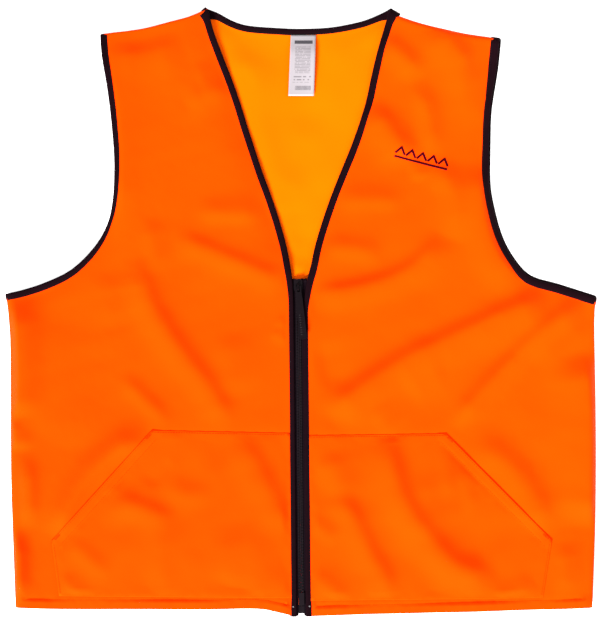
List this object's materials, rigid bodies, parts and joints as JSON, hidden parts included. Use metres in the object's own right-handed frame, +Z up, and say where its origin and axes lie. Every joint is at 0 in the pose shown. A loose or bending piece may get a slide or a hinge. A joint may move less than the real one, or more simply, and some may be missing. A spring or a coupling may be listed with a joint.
{
  "type": "zip-front safety vest",
  "caption": "Sleeveless blaze orange hunting vest with a V-neck, a separating zipper, bound edges and slant-mouth patch pockets, laid flat with its front up.",
  "frame": {"origin": "centre of the vest's footprint, on the surface that it lies on", "axes": "+X towards the wearer's left, +Y from the hem to the neck, +Z up, away from the surface, which the back panel lies on"},
  "size_m": [0.6334, 0.6526, 0.0182],
  "materials": {
    "shell_cloth": "brushed woven polyester, fluorescent orange",
    "back_cloth": "the same cloth, its inner face a lighter amber",
    "binding": "black folded woven binding with a stitched edge",
    "thread": "orange sewing thread",
    "zipper_tape": "black herringbone zipper tape",
    "zipper_plastic": "black moulded acetal, satin",
    "slider_finish": "black enamel on die-cast metal, satin",
    "label": "white woven satin label tape with plain grey printed bars",
    "motif_thread": "dark maroon embroidery thread"
  },
  "bodies": {
    "back": {"back_panel": "back_cloth", "right_front_side": "shell_cloth", "left_front_side": "shell_cloth", "right_side_seam": "shell_cloth", "left_side_seam": "shell_cloth", "right_shoulder_seam": "shell_cloth", "left_shoulder_seam": "shell_cloth", "right_armhole_binding": "binding", "left_armhole_binding": "binding", "neck_binding": "binding"},
    "right_front": {"right_front_panel": "shell_cloth", "right_front_binding": "binding", "right_pocket": "shell_cloth", "right_pocket_upper_bartack": "thread", "right_pocket_lower_bartack": "thread", "right_zipper_tape": "zipper_tape", "right_zipper_teeth": "zipper_plastic", "right_top_stop": "zipper_plastic", "retainer_box": "zipper_plastic"},
    "left_front": {"left_front_panel": "shell_cloth", "left_front_binding": "binding", "left_pocket": "shell_cloth", "left_pocket_upper_bartack": "thread", "left_pocket_lower_bartack": "thread", "left_zipper_tape": "zipper_tape", "left_zipper_teeth": "zipper_plastic", "left_top_stop": "zipper_plastic", "insertion_pin": "zipper_plastic", "chest_motif": "motif_thread"},
    "slider": {"slider_body": "slider_finish", "slider_crown": "slider_finish"},
    "pull": {"pull_tab": "slider_finish"},
    "label": {"care_label": "label"}
  },
  "joints": [
    {"name": "right_front_open", "type": "hinge", "parent": "back", "child": "right_front", "pos_m": [-0.19686, -0.00486, 0.012], "axis": [-0.3053, -0.9522, 0], "range_deg": [0, 125]},
    {"name": "left_front_open", "type": "hinge", "parent": "back", "child": "left_front", "pos_m": [0.19714, -0.00498, 0.012], "axis": [-0.3217, 0.9468, 0], "range_deg": [0, 125], "deforming": ["chest_motif"]},
    {"name": "zipper_slide", "type": "slide", "parent": "right_front", "child": "slider", "axis": [0.0103, -0.9999, 0], "range_m": [0, 0.32], "deforming": ["right_zipper_teeth", "left_zipper_teeth"]},
    {"name": "pull_tab_flip", "type": "hinge", "parent": "slider", "child": "pull", "pos_m": [-0.00326, 0.02649, 0.0132], "axis": [-0.9952, -0.0974, 0], "range_deg": [0, 160]},
    {"name": "care_label_lift", "type": "hinge", "parent": "back", "child": "label", "pos_m": [0.0024, 0.2963, 0.0029], "axis": [-1, 0, 0], "range_deg": [0, 150]}
  ]
}
